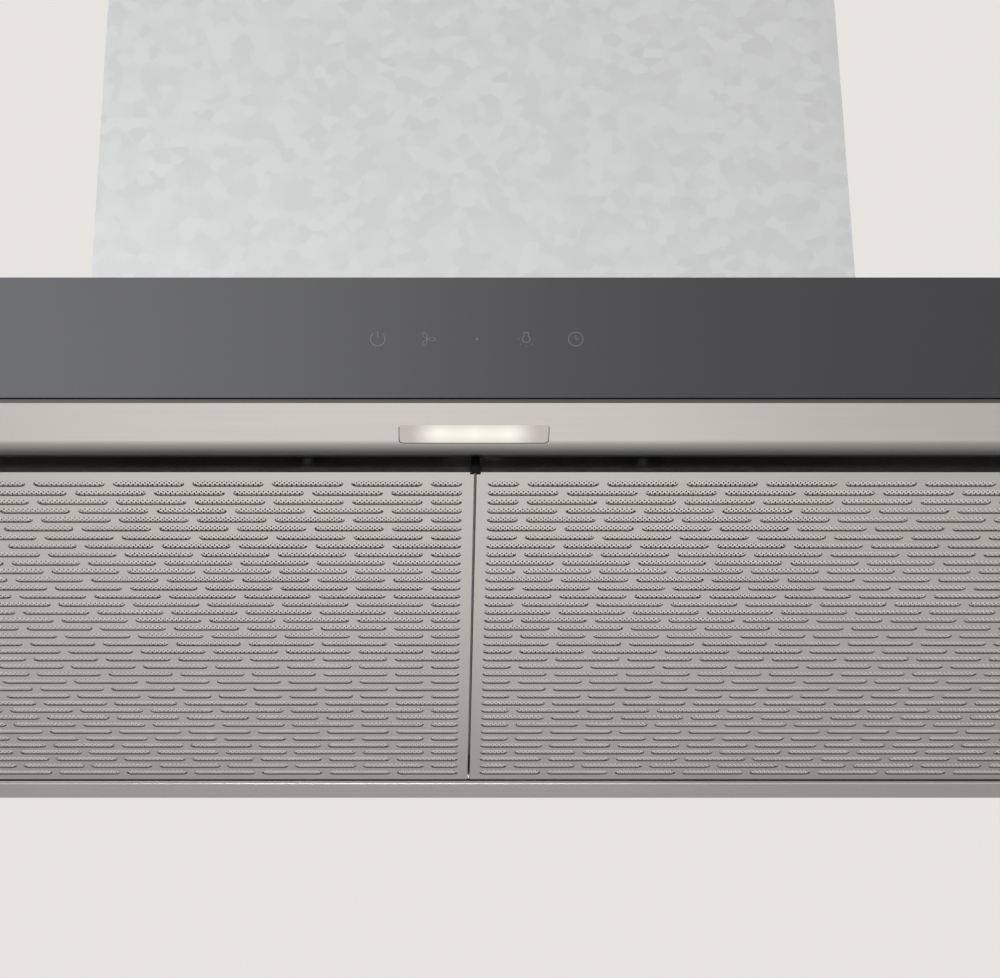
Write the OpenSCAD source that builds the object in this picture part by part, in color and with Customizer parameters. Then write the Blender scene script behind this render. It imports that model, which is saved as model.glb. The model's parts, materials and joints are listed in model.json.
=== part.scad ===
// Built-in range hood, 90 cm class, seen from below as it hangs in its cabinet.
// X runs to the right, +Y to the wall, +Z up. The underside is the plane z = 0.
// Origin: middle of the underside, at half of the whole depth.

/* [Hood] */
// Width of the hood
hood_w = 898; // [598:1:1198]
// Depth of the underside, from the front strip's edge to the wall
hood_d = 431; // [390:1:520]
// Height of the casing below the cabinet
casing_h = 62; // [56:1:90]
// Thickness of the steel sheet
sheet_t = 1; // [0.8:0.1:1.2]
// Width of each side strip
side_strip_w = 22.35; // [16:0.05:40]
// Depth of the rear strip
rear_strip_d = 19.4; // [14:0.1:40]
// Radius of the rear strip's rounded front hem
rear_hem_r = 1.5; // [1:0.1:2.5]

/* [Fascia glass] */
// Height of the glass along its slope
glass_h = 59.2; // [50:0.1:59.2]
// Thickness of the glass
glass_t = 4; // [3:0.5:4]
// Lean of the glass from upright, top forward
glass_lean = 12; // [0:1:14]
// Gap between the glass and the front strip's hem
shadow_gap = 1.2; // [0.8:0.1:3]
// Setback of the glass's lower edge behind the strip's edge
glass_setback = 0.5; // [0:0.1:2]

/* [Front strip] */
// Depth of the flat part of the front strip
strip_flat = 37.5; // [36:0.1:50]
// Depth of the folded hem at the front edge
hem_d = 12; // [11:0.5:13]
// Radius of the curved lip
lip_r = 42.3; // [36:0.1:60]
// Angle to which the lip curves up
lip_angle = 29; // [24:1:34]
// Gap for fingers between the lip's flange and the filters
finger_gap = 6.1; // [5:0.1:8]

/* [Lamp] */
// Length of the lamp's cut-out
lamp_w = 70.1; // [60:0.1:90]
// Depth of the lamp's cut-out
lamp_d = 16.6; // [14:0.1:17]
// Offset of the lamp from the middle, to the right
lamp_x = -1.1; // [-20:0.1:20]
// Corner radius of the cut-out
lamp_r = 2.6; // [1.5:0.1:4]
// Gap round the lens
lamp_gap = 0.35; // [0.2:0.05:0.6]
// Height of the lamp's housing
lamp_h = 14; // [10:1:20]
// Number of light points
lamp_points = 3; // [1:1:6]

/* [Filters] */
// Height of a filter panel
filter_h = 12; // [11:0.5:16]
// Recess of the filters above the underside
filter_recess = 1; // [0.5:0.1:1.5]
// Gap between the two filters
seam = 1.3; // [1.1:0.1:2]
// Gap at the filters' sides and rear
filter_gap = 1; // [0.6:0.1:1.5]
// Thickness of the slotted face
face_t = 0.8; // [0.6:0.1:1]
// Length of a slot
slot_l = 34; // [24:1:50]
// Width of a slot
slot_w = 5.6; // [4:0.1:6.4]
// Bridge between slots in a row
slot_bridge = 4; // [3:0.5:8]
// Pitch of the rows of slots
row_pitch = 8.75; // [8:0.05:12]
// Least distance of a row's centre from the filter's edge
row_margin = 11; // [10.5:0.5:20]
// Least distance of a slot's end from the filter's side
slot_margin = 5.4; // [5.2:0.1:12]
// Thickness of the mesh sheet
mesh_t = 0.6; // [0.4:0.1:0.8]
// Width of the filter frame's side bars
side_bar = 4.2; // [3.5:0.1:4.3]
// Width of the filter frame's front and rear bars
end_bar = 6.6; // [6.2:0.1:6.8]
// Columns of windows in the back grid
back_columns = 12; // [6:1:16]
// Rows of windows in the back grid
back_rows = 9; // [5:1:12]

/* [Filter hinge and catches] */
// Distance of the hinge line from the filter's rear and lower faces
hinge_inset = 3; // [2.6:0.1:3.4]
// Radius of a hinge pin
hinge_pin_r = 1.2; // [0.9:0.05:1.4]
// Length of a hinge pin inside the filter
hinge_pin_l = 9; // [7:0.5:14]
// Thickness of the hinge blade in the seam
blade_t = 0.7; // [0.5:0.1:0.7]
// Running clearance of pins and shafts
run_gap = 0.05; // [0.03:0.01:0.08]
// Distance of a catch from the filter's end
catch_inset = 80; // [40:1:110]
// Width of a catch housing
catch_w = 15; // [12:0.5:20]
// Radius of a catch plunger
plunger_r = 2.2; // [1.8:0.1:2.4]
// Travel of a catch plunger
plunger_travel = 2.8; // [2:0.1:3.2]
// Width of the rubber stop at the seam
stop_w = 4.1; // [3:0.1:6]

/* [Blower] */
// Width of the blower box
box_w = 380; // [340:1:420]
// Depth of the blower box
box_d = 300; // [290:1:310]
// Height of the blower box
box_h = 278; // [270:1:340]
// Distance of the blower box behind the underside's front edge
box_y = 80; // [70:1:85]
// Outside radius of the impeller
wheel_r = 86; // [74:1:90]
// Width of the impeller
wheel_w = 126; // [110:1:128]
// Number of impeller blades
blades = 36; // [24:1:44]
// Inside width of the scroll housing
scroll_w = 150; // [144:1:170]
// Smallest inside radius of the scroll
scroll_r = 100; // [96:1:104]
// Growth of the scroll's radius at each quarter turn
scroll_step = 14; // [10:1:16]
// Wall of the scroll housing
scroll_t = 2; // [1.5:0.5:3]
// Radius of the motor can
motor_r = 42; // [36:1:48]
// Radius of the motor shaft
shaft_r = 4; // [3:0.5:6]

/* [Duct collar] */
// Outside radius of the duct collar
duct_r = 75; // [60:0.5:75]
// Wall of the duct collar
duct_t = 2; // [1.5:0.5:3]
// Height of the duct collar
duct_h = 64; // [50:1:90]
// Radius of the damper pin
damper_pin_r = 1.5; // [1:0.1:2]
// Thickness of a damper flap
flap_t = 1.2; // [0.8:0.1:1.4]

/* [Control box] */
// Width of the control box
ctrl_w = 115; // [100:1:120]
// Depth of the control box
ctrl_d = 180; // [170:1:210]
// Height of the control box
ctrl_h = 50; // [44:1:70]
// Radius of the cable gland's bore
gland_r = 4.5; // [3:0.5:5]

/* [Fixing] */
// Distance of the cabinet fixing holes from the hood's sides
fix_inset = 30; // [24:1:60]
// Distance from front to rear between the cabinet fixing holes
fix_span = 330; // [300:1:345]
// Radius of a cabinet fixing hole
fix_r = 2.75; // [2:0.25:4]

/* [Hidden] */
$fn = 64;

// A cut runs this far past the faces that it opens.
over = 1;
steel = [0.76, 0.75, 0.73];
zinc = [0.66, 0.67, 0.68];
dark_plastic = [0.12, 0.12, 0.13];
grey_plastic = [0.55, 0.56, 0.57];
board_green = [0.10, 0.32, 0.20];

// Sides: everything is drawn with y = 0 at the front strip's edge and moved at the end.
glass_reach = glass_h * sin(glass_lean) - glass_setback;
y_shift = -(hood_d - glass_reach) / 2;
half_w = hood_w / 2;

// Front strip: the lip's centre lies over the end of the flat, and its end bends upright.
lip_end_y = strip_flat + (lip_r - sheet_t) * sin(lip_angle);
lip_end_z = lip_r - (lip_r - sheet_t) * cos(lip_angle);
flange_back = lip_end_y + sheet_t;
lip_half = half_w - side_strip_w;

// Lamp: the lens drops through the cut-out and its flange lies on the strip.
lamp_y = 27.9;
lens_flange = 1.9;
lens_flange_d = 0.5;
lens_low = 0.2;
lens_t = 1.2;
housing_t = 1;
light_point = 5;
light_point_h = 1;

// Fascia: carrier, touch board and status light, by their height up the glass's slope.
carrier_t = 2;
carrier_low = 0;
carrier_high = glass_h - 1.5;
board_low = 16;
board_high = 42;
board_half = 78;
board_gap = 0.05;
light_r = 1.5;
light_l = 3;
light_h = 28.7;

// Casing: its ends' top flanges, their screws, and the holes for wires.
wire_hole_r = 8;
wire_hole_x = 60;
end_flange = 14;
end_screw_x = half_w - end_flange / 2;
end_screw_inset = 20;
end_screw_y = [hem_d + end_screw_inset, hood_d / 2, hood_d - end_screw_inset];

// Filters: each runs from the seam to the side gap.
filter_w = half_w - side_strip_w - filter_gap - seam / 2;
filter_y = flange_back + finger_gap;
filter_end = hood_d - rear_strip_d - filter_gap;
filter_d = filter_end - filter_y;
filter_z = filter_recess;
hinge_y = filter_end - hinge_inset;
hinge_z = filter_z + hinge_inset;
slot_pitch = slot_l + slot_bridge;
columns = floor((filter_w - 2 * slot_margin + slot_bridge) / slot_pitch + 0.001);
rows = floor((filter_d - 2 * row_margin) / row_pitch + 0.001) + 1;
row_y0 = (filter_d - (rows - 1) * row_pitch) / 2;
row_half = (columns * slot_pitch - slot_bridge) / 2;
mesh_hold = 2;
sheet_gap = 0.1;
pin_end_gap = 0.5;
frame_top = filter_h - 0.6;
back_t = 0.8;
back_z = frame_top - 1;
back_bar = 4;
stop_gap = 0.5;
stop_reach = 1.5;
stop_h = 9;

// Centre rail and hinge brackets: they clear the filters.
rail_gap = 1;
block_w = 5;
block_r = 4;
blade_r = hinge_inset - 0.4;
rail_w = 24;
rail_h = 18;
rail_z = filter_z + filter_h + rail_gap;

// Catches: the plunger points at the middle of the filter's front flange.
catch_z = lip_end_z + 4.1;
catch_body_h = 8;
catch_body_d = 17;
chamber_r = 3.3;
chamber_front = flange_back - sheet_t - catch_body_d + 2;
chamber_back = flange_back - sheet_t - 3;
collar_r = 3.1;
collar_t = 1.5;
collar_rest = 0.1;
tip_gap = 0.3;
bezel_t = 1;
tail_r = 1.2;
spring_r = 2.2;
spring_wire = 0.4;
spring_curls = 5;
spring_sides = 6;
spring_rings = 8;
spring_gap = 0.1;
spring_y0 = chamber_front + spring_wire + spring_gap;
spring_y1 = chamber_back - collar_rest - collar_t - spring_wire - spring_gap;
spring_steps = spring_curls * spring_rings;
tail_gap = 1;
catch_x = [-filter_w - seam / 2 + catch_inset, -catch_inset, catch_inset,
    filter_w + seam / 2 - catch_inset];

// Blower: the wheel's axis runs along X, and the scroll opens upwards at its rear.
box_t = 0.8;
box_z = casing_h;
box_top = box_z + box_h;
wheel_back = 16;
wheel_drop = 144;
wheel_y = box_y + box_d / 2 - 2 * scroll_step + wheel_back;
wheel_z = box_top - wheel_drop;
box_wire_z = casing_h + 30;
box_flange = 12;
intake_margin = 10;
outlet_front = 5;
outlet_back = scroll_r + 3 * scroll_step;
duct_y = wheel_y + (outlet_front + outlet_back) / 2;
inlet_r = wheel_r - 20;
sleeve_t = 3;
sleeve_l = 9;
blade_t_wheel = 1;
blade_depth = 18;
blade_l = 14.4;
blade_tilt = 35;
ring_in = wheel_r - blade_depth + 2;
ring_t = 2;
hub_r = 12;
hub_l = 15;
motor_x0 = -wheel_w / 2 + 5;
motor_x1 = -6;
motor_wall = 6;
boss_r = 15;
arm_w = 14;
inlet_flange_r = inlet_r + 10;
inlet_flange_t = 2;
rubber_r = 4;
rubber_l = 8;
rubber_at = inlet_flange_r + rubber_r + 0.5;
arm_t = 3;
bracket_x = -scroll_w / 2 - scroll_t - rubber_l;

// Duct collar: the flaps lie 0.3 mm over their seat.
top_t = 1;
top_lip = 8;
collar_z = box_top + top_t;
collar_flange_r = duct_r + 13;
collar_flange_t = 1.5;
bore_r = duct_r - duct_t;
damper_z = collar_z + 13;
seat_gap = 0.3;
seat_w = 4;
seat_t = 1.5;
flap_gap = 0.7;
flap_root = damper_pin_r + 2.5;
knuckle_r = damper_pin_r + 1.5;
knuckle_l = 14;
knuckles_rear = [-44, 28];
knuckles_front = [-28, 44];

// Control box: on the casing, to the left of the blower box.
ctrl_x = -box_w / 2 - box_flange - 10 - ctrl_w;
ctrl_y = box_y + 60;
ctrl_t = 1.5;
board_t = 1.6;
gland_x = ctrl_x + 30;
gland_z = casing_h + ctrl_h / 2;
ctrl_wire_y = 20;
gland_t = 3;
gland_in = 6;
gland_out = 20;
lid_skirt = 8;
lid_gap = 0.2;
lid_t = 1;

// Screws: pan heads.
screw_r = 1.9;
head_r = 3.6;
head_h = 2.2;
screw_end = 3;

// Moves a drawing from the front strip's edge to the part's own frame.
module placed() {
    translate([0, y_shift, 0]) children();
}

// Draws a shape for the right half, or its mirror image for the left half.
module for_side(side) {
    if (side < 0) {
        mirror([1, 0, 0]) children();
    } else {
        children();
    }
}

// Runs a drawing in the Y-Z plane from x0 to x1.
module along_x(x0, x1) {
    translate([x0, 0, 0]) rotate([90, 0, 90]) linear_extrude(x1 - x0) children();
}

// A round bar along X.
module bar_x(x0, x1, y, z, r) {
    translate([x0, y, z]) rotate([0, 90, 0]) cylinder(h = x1 - x0, r = r);
}

// A round bar along Y.
module bar_y(y0, y1, x, z, r) {
    translate([x, y0, z]) rotate([-90, 0, 0]) cylinder(h = y1 - y0, r = r);
}

// A flat rectangle with round corners, about its centre.
module round_rect(w, d, r) {
    square([w - 2 * r, d], center = true);
    square([w, d - 2 * r], center = true);
    for (x = [-1, 1]) {
        for (y = [-1, 1]) {
            translate([x * (w / 2 - r), y * (d / 2 - r)]) circle(r = r);
        }
    }
}

// A slot with round ends, from x0 to x1 on the row at y.
module slot(x0, x1, y) {
    r = slot_w / 2;
    l = x1 - x0 - slot_w;
    translate([x0 + r, y]) {
        translate([0, -r]) square([l, slot_w]);
        circle(r = r);
        translate([l, 0]) circle(r = r);
    }
}

// A band of a ring between two radii, from the lowest point round to an angle.
module arc_band(r_out, r_in, angle) {
    reach = 2 * r_out;
    intersection() {
        difference() {
            circle(r = r_out, $fn = 128);
            circle(r = r_in, $fn = 128);
        }
        polygon([[0, 0], [0, -reach], [reach * tan(angle), -reach]]);
    }
}

// Lip of the front strip: curve, tight bend and upright flange, in the Y-Z plane.
module lip_profile() {
    translate([strip_flat, lip_r]) arc_band(lip_r, lip_r - sheet_t, lip_angle);
    reach = 3 * sheet_t;
    translate([lip_end_y, lip_end_z]) {
        intersection() {
            circle(r = sheet_t);
            polygon([
                [0, 0], [reach * sin(lip_angle), -reach * cos(lip_angle)], [reach, -reach], [reach, 0]
            ]);
        }
    }
    translate([lip_end_y, lip_end_z]) square([sheet_t, casing_h - sheet_t - lip_end_z]);
}

module front_strip() {
    color(steel) placed() difference() {
        union() {
            translate([-half_w, 0, 0]) cube([hood_w, strip_flat, sheet_t]);
            translate([-half_w, 0, 0]) cube([hood_w, hem_d, 2 * sheet_t]);
            along_x(-lip_half, lip_half) lip_profile();
        }
        translate([lamp_x, lamp_y, -over]) {
            linear_extrude(sheet_t + 2 * over) round_rect(lamp_w, lamp_d, lamp_r);
        }
        for (x = catch_x) {
            bar_y(lip_end_y - over, flange_back + over, x, catch_z, chamber_r);
        }
    }
}

// A side strip: flat sheet with an upstand beside the filter.
module side_strip(side) {
    upstand = filter_z + filter_h;
    color(steel) placed() for_side(side) difference() {
        union() {
            translate([lip_half, strip_flat, 0]) {
                cube([side_strip_w, hood_d - strip_flat, sheet_t]);
            }
            translate([lip_half, flange_back, 0]) {
                cube([sheet_t, filter_end - flange_back, upstand]);
            }
        }
        bar_x(lip_half - over, lip_half + sheet_t + over, hinge_y, hinge_z, hinge_pin_r);
    }
}

module rear_strip() {
    hem_y = filter_end + filter_gap + rear_hem_r;
    color(steel) placed() {
        translate([-lip_half, hem_y, 0]) cube([2 * lip_half, hood_d - hem_y, sheet_t]);
        bar_x(-lip_half, lip_half, hem_y, rear_hem_r, rear_hem_r);
    }
}

// Places of the screws that hold the blower box down, on its flange.
box_screw_inset = 30;
box_screw_spots = [
    for (side = [-1, 1])
        for (y = [box_screw_inset, box_d / 2, box_d - box_screw_inset])
            [side * (box_w / 2 + box_flange / 2), box_y + y]
];

// Folded casing: front wall, top and rear wall.
module casing_wrap() {
    w = hood_w - 2 * sheet_t;
    color(zinc) placed() difference() {
        union() {
            translate([-w / 2, hem_d, casing_h - sheet_t]) {
                cube([w, hood_d - hem_d, sheet_t]);
            }
            translate([-w / 2, hem_d, sheet_t]) cube([w, sheet_t, casing_h - sheet_t]);
            translate([-w / 2, hood_d - sheet_t, sheet_t]) {
                cube([w, sheet_t, casing_h - sheet_t]);
            }
        }
        translate([-box_w / 2 + intake_margin, box_y + intake_margin, casing_h - 2 * sheet_t]) {
            cube([box_w - 2 * intake_margin, box_d - 2 * intake_margin, 3 * sheet_t]);
        }
        for (x = [-1, 1]) {
            for (y = [-1, 1]) {
                translate([x * (half_w - fix_inset), hood_d / 2 + y * fix_span / 2, 0]) {
                    translate([0, 0, casing_h - 2 * sheet_t]) cylinder(h = 3 * sheet_t, r = fix_r);
                }
            }
        }
        for (spot = box_screw_spots) {
            translate([spot[0], spot[1], casing_h - 2 * sheet_t]) {
                cylinder(h = 3 * sheet_t, r = screw_r);
            }
        }
        translate([ctrl_x + ctrl_w / 2, ctrl_y + ctrl_wire_y, casing_h - 2 * sheet_t]) {
            cylinder(h = 3 * sheet_t, r = wire_hole_r);
        }
        for (side = [-1, 1]) {
            bar_y(hem_d - over, hem_d + sheet_t + over, side * wire_hole_x, casing_h / 2, wire_hole_r);
            for (y = end_screw_y) {
                translate([side * end_screw_x, y, casing_h - 2 * sheet_t]) {
                    cylinder(h = 3 * sheet_t, r = screw_r);
                }
            }
        }
    }
}

// Casing end: upright sheet with a top flange turned in under the casing top.
module casing_end(side) {
    color(zinc) placed() for_side(side) difference() {
        union() {
            translate([half_w - sheet_t, hem_d, sheet_t]) {
                cube([sheet_t, hood_d - hem_d, casing_h - sheet_t]);
            }
            translate([half_w - end_flange, hem_d + sheet_t, casing_h - 2 * sheet_t]) {
                cube([end_flange, hood_d - hem_d - 2 * sheet_t, sheet_t]);
            }
        }
        for (y = end_screw_y) {
            translate([end_screw_x, y, casing_h - 3 * sheet_t]) {
                cylinder(h = 3 * sheet_t, r = screw_r);
            }
        }
    }
}

// Puts a drawing in the glass's own frame: y into the hood, z up the slope.
module on_slope() {
    translate([0, glass_setback, 2 * sheet_t + shadow_gap]) rotate([glass_lean, 0, 0]) children();
}

module fascia_glass() {
    color([0.30, 0.30, 0.31]) placed() on_slope() {
        translate([-half_w, 0, 0]) cube([hood_w, glass_t, glass_h]);
    }
}

// Point of the Y-Z plane at a depth behind the glass's face and a height up its slope.
function slope_point(depth, height) = [
    glass_setback + depth * cos(glass_lean) - height * sin(glass_lean),
    2 * sheet_t + shadow_gap + depth * sin(glass_lean) + height * cos(glass_lean)
];

// Carrier behind the glass: a box section that stands on the strip's hem.
module fascia_carrier() {
    low = slope_point(glass_t, carrier_low);
    high = slope_point(glass_t, carrier_high);
    low_in = slope_point(glass_t + carrier_t, carrier_low + carrier_t);
    high_in = slope_point(glass_t + carrier_t, carrier_high - carrier_t);
    back = hem_d;
    foot = 2 * sheet_t;
    color(dark_plastic) placed() difference() {
        along_x(-half_w + carrier_t, half_w - carrier_t) difference() {
            polygon([low, high, [back, high[1]], [back, foot], [low[0], foot]]);
            polygon([low_in, high_in, [back - carrier_t, high_in[1]], [back - carrier_t, low_in[1]]]);
        }
        on_slope() translate([-board_half - 1, glass_t - over, board_low - 1]) {
            cube([2 * board_half + 2, carrier_t + 2 * over, board_high - board_low + 2]);
        }
        for (side = [-1, 1]) {
            bar_y(back - 2 * carrier_t, back + over, side * wire_hole_x, casing_h / 2, wire_hole_r);
        }
    }
}

// End caps: they close the carrier's ends, flush with the glass's ends.
module fascia_end_caps() {
    low = slope_point(glass_t, carrier_low);
    high = slope_point(glass_t, carrier_high);
    color(dark_plastic) placed() for (side = [-1, 1]) {
        for_side(side) along_x(half_w - carrier_t, half_w) {
            polygon([low, high, [hem_d, high[1]], [hem_d, 2 * sheet_t], [low[0], 2 * sheet_t]]);
        }
    }
}

module touch_board() {
    color(board_green) placed() on_slope() difference() {
        translate([-board_half, glass_t + board_gap, board_low]) {
            cube([2 * board_half, board_t, board_high - board_low]);
        }
        bar_y(glass_t, glass_t + 3 * board_t, 0, light_h, light_r);
    }
}

module status_light() {
    color([0.92, 0.92, 0.88]) placed() on_slope() {
        bar_y(glass_t + board_gap, glass_t + board_gap + light_l, 0, light_h, light_r);
    }
}

module lamp_lens() {
    w = lamp_w - 2 * lamp_gap;
    d = lamp_d - 2 * lamp_gap;
    color([0.98, 0.97, 0.92]) placed() translate([lamp_x, lamp_y, 0]) {
        translate([0, 0, lens_low]) {
            linear_extrude(sheet_t + lens_t - lens_low) round_rect(w, d, lamp_r - lamp_gap);
        }
        translate([0, 0, sheet_t]) {
            linear_extrude(lens_t) {
                round_rect(lamp_w + 2 * lens_flange, lamp_d + 2 * lens_flange_d, lamp_r);
            }
        }
    }
}

// Lamp housing: an upturned tray over the lens.
module lamp_housing() {
    w = lamp_w + 2 * lens_flange;
    d = lamp_d + 2 * lens_flange_d;
    color(dark_plastic) placed() translate([lamp_x, lamp_y, sheet_t]) difference() {
        linear_extrude(lamp_h) round_rect(w + 2 * housing_t, d + 2 * housing_t, lamp_r + housing_t);
        translate([0, 0, -over]) {
            linear_extrude(lamp_h - housing_t + over) round_rect(w, d, lamp_r);
        }
    }
}

module light_board() {
    z = sheet_t + lamp_h - housing_t - board_t;
    color([0.90, 0.90, 0.86]) placed() translate([lamp_x, lamp_y, z]) {
        translate([-lamp_w / 2, -lamp_d / 2, 0]) cube([lamp_w, lamp_d, board_t]);
        for (i = [0 : lamp_points - 1]) {
            translate([(i - (lamp_points - 1) / 2) * lamp_w / 4, 0, -light_point_h / 2]) {
                cube([light_point, light_point, light_point_h], center = true);
            }
        }
    }
}

// Centre rail: a channel from the lip's flange to the rear wall, open at its top.
module centre_rail() {
    l = hood_d - sheet_t - flange_back;
    h = casing_h - sheet_t - rail_z;
    color(zinc) placed() translate([-rail_w / 2, flange_back, rail_z]) difference() {
        cube([rail_w, l, rail_h]);
        translate([sheet_t, -over, sheet_t]) cube([rail_w - 2 * sheet_t, l + 2 * over, h]);
    }
}

// Rubber stop between the filters' front corners, on the lip's flange.
module centre_stop() {
    r = 1;
    d = finger_gap + stop_reach;
    color(dark_plastic) placed() translate([0, flange_back + d / 2, filter_z + stop_h / 2]) {
        along_x(-stop_w / 2, stop_w / 2) round_rect(d, stop_h, r);
    }
}

// Blade in the seam, and a block beside each upstand: they hold the hinge pins.
module hinge_brackets() {
    color(zinc) placed() {
        difference() {
            union() {
                bar_x(-blade_t / 2, blade_t / 2, hinge_y, hinge_z, blade_r);
                translate([-blade_t / 2, hinge_y - blade_r, hinge_z]) {
                    cube([blade_t, 2 * blade_r, rail_z - hinge_z]);
                }
            }
            bar_x(-over, over, hinge_y, hinge_z, hinge_pin_r);
        }
        for (side = [-1, 1]) {
            for_side(side) difference() {
                translate([lip_half + sheet_t, hinge_y - block_r, sheet_t]) {
                    cube([block_w, 2 * block_r, hinge_z + block_r - sheet_t]);
                }
                bar_x(lip_half, lip_half + block_w + 2 * over, hinge_y, hinge_z, hinge_pin_r);
            }
        }
    }
}

module hinge_pins() {
    outer = lip_half + sheet_t + block_w;
    color(steel) placed() {
        bar_x(-seam / 2 - hinge_pin_l, seam / 2 + hinge_pin_l, hinge_y, hinge_z, hinge_pin_r);
        for (side = [-1, 1]) {
            for_side(side) {
                bar_x(seam / 2 + filter_w - hinge_pin_l, outer, hinge_y, hinge_z, hinge_pin_r);
            }
        }
    }
}

// A filter's side view in the Y-Z plane, drawn in by an inset, round at its lower rear.
module filter_profile(inset) {
    translate([inset, inset]) square([filter_d - hinge_inset - inset, filter_h - inset]);
    translate([filter_d - hinge_inset, hinge_inset]) circle(r = hinge_inset - inset);
    translate([inset, hinge_inset]) square([filter_d - 2 * inset, filter_h - hinge_inset]);
}

// The slots of one filter, row by row: full rows, and rows that are shifted by half a slot.
module slot_pattern() {
    middle = filter_w / 2;
    left = middle - row_half;
    right = middle + row_half;
    for (row = [0 : rows - 1]) {
        y = row_y0 + row * row_pitch;
        if (row % 2 == 1) {
            for (i = [0 : columns - 1]) {
                slot(left + i * slot_pitch, left + i * slot_pitch + slot_l, y);
            }
        } else {
            for (i = [0 : columns - 2]) {
                x = left + (i + 0.5) * slot_pitch;
                slot(x, x + slot_l, y);
            }
            slot(left, left + slot_pitch / 2 - slot_bridge, y);
            slot(right - slot_pitch / 2 + slot_bridge, right, y);
        }
    }
}

// Puts a drawing in a filter's own frame: its front corner at the seam is the zero point.
module in_filter(side) {
    placed() for_side(side) translate([seam / 2, filter_y, filter_z]) children();
}

// What the rubber stop and the pins take out of a filter.
module filter_cuts() {
    notch = stop_w / 2 + stop_gap - seam / 2;
    translate([-over, -over, -over]) {
        cube([notch + over, stop_reach + stop_gap + over, filter_h + 2 * over]);
    }
    depth = hinge_pin_l + pin_end_gap;
    y = filter_d - hinge_inset;
    bar_x(-over, depth, y, hinge_inset, hinge_pin_r + run_gap);
    bar_x(filter_w - depth, filter_w + over, y, hinge_inset, hinge_pin_r + run_gap);
}

// Slotted face: a shallow tray, open at its top.
module filter_face(side) {
    color(steel) in_filter(side) difference() {
        along_x(0, filter_w) filter_profile(0);
        along_x(face_t, filter_w - face_t) {
            filter_profile(face_t);
            translate([face_t, filter_h / 2]) square([filter_d - 2 * face_t, filter_h]);
        }
        translate([0, 0, -over]) linear_extrude(face_t + 2 * over) slot_pattern();
        filter_cuts();
    }
}

// Mesh sheet: it lies on the face, and the frame's bars hold its edges down.
module filter_mesh(side) {
    x = face_t + side_bar - mesh_hold + sheet_gap;
    y = face_t + end_bar - mesh_hold + sheet_gap;
    color([0.58, 0.57, 0.55]) in_filter(side) translate([x, y, face_t]) {
        cube([filter_w - 2 * x, filter_d - 2 * y, mesh_t]);
    }
}

// Frame inside the tray: four bars with a rebate for the mesh and a seat for the back grid.
module filter_frame(side) {
    x = face_t + side_bar;
    y = face_t + end_bar;
    color(zinc) in_filter(side) difference() {
        along_x(face_t, filter_w - face_t) intersection() {
            filter_profile(face_t);
            square([filter_d, frame_top]);
        }
        translate([x, y, -over]) cube([filter_w - 2 * x, filter_d - 2 * y, filter_h + 2 * over]);
        translate([x - mesh_hold, y - mesh_hold, face_t - over]) {
            cube([filter_w - 2 * (x - mesh_hold), filter_d - 2 * (y - mesh_hold), mesh_t + over]);
        }
        translate([x - mesh_hold, y - mesh_hold, back_z]) {
            cube([filter_w - 2 * (x - mesh_hold), filter_d - 2 * (y - mesh_hold), filter_h]);
        }
        filter_cuts();
    }
}

// Back grid: a sheet with rectangular windows.
module filter_back(side) {
    x = face_t + side_bar - mesh_hold + sheet_gap;
    y = face_t + end_bar - mesh_hold + sheet_gap;
    w = filter_w - 2 * x;
    d = filter_d - 2 * y;
    pitch_x = (w - back_bar) / back_columns;
    pitch_y = (d - back_bar) / back_rows;
    color(zinc) in_filter(side) translate([x, y, back_z]) linear_extrude(back_t) difference() {
        square([w, d]);
        for (i = [0 : back_columns - 1]) {
            for (j = [0 : back_rows - 1]) {
                translate([back_bar + i * pitch_x, back_bar + j * pitch_y]) {
                    square([pitch_x - back_bar, pitch_y - back_bar]);
                }
            }
        }
    }
}

// Catch housings: a block before the lip's flange, and a bezel behind it.
module catch_housings() {
    y0 = lip_end_y - catch_body_d;
    color(dark_plastic) placed() for (x = catch_x) {
        translate([x, 0, 0]) difference() {
            union() {
                translate([-catch_w / 2, y0, catch_z - catch_body_h / 2]) {
                    cube([catch_w, catch_body_d, catch_body_h]);
                }
                bar_y(lip_end_y - over, flange_back, 0, catch_z, chamber_r);
                translate([-catch_w / 2, flange_back, catch_z - catch_body_h / 2]) {
                    cube([catch_w, bezel_t, catch_body_h]);
                }
            }
            bar_y(chamber_front, chamber_back, 0, catch_z, chamber_r);
            bar_y(chamber_back - over, flange_back + 2 * over, 0, catch_z, plunger_r + run_gap);
        }
    }
}

// Catch plunger: tail, collar, stem and round tip.
module catch_plunger(i) {
    back = chamber_back - collar_rest;
    tip = filter_y - tip_gap - plunger_r;
    tail = chamber_front + plunger_travel + tail_gap;
    color(grey_plastic) placed() translate([catch_x[i], 0, 0]) {
        bar_y(tail, back, 0, catch_z, tail_r);
        bar_y(back - collar_t, back, 0, catch_z, collar_r);
        bar_y(back - collar_t, tip, 0, catch_z, plunger_r);
        translate([0, tip, catch_z]) sphere(r = plunger_r);
    }
}

// Ring of points round the spring's wire line.
function spring_angle(k) = 360 * k / spring_rings;
function spring_ring(k) = [
    for (s = [0 : spring_sides - 1])
        let (a = 360 * s / spring_sides, r = spring_r + spring_wire * cos(a))
        [r * cos(spring_angle(k)),
            spring_y0 + (spring_y1 - spring_y0) * k / spring_steps + spring_wire * sin(a),
            r * sin(spring_angle(k))]
];

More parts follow.
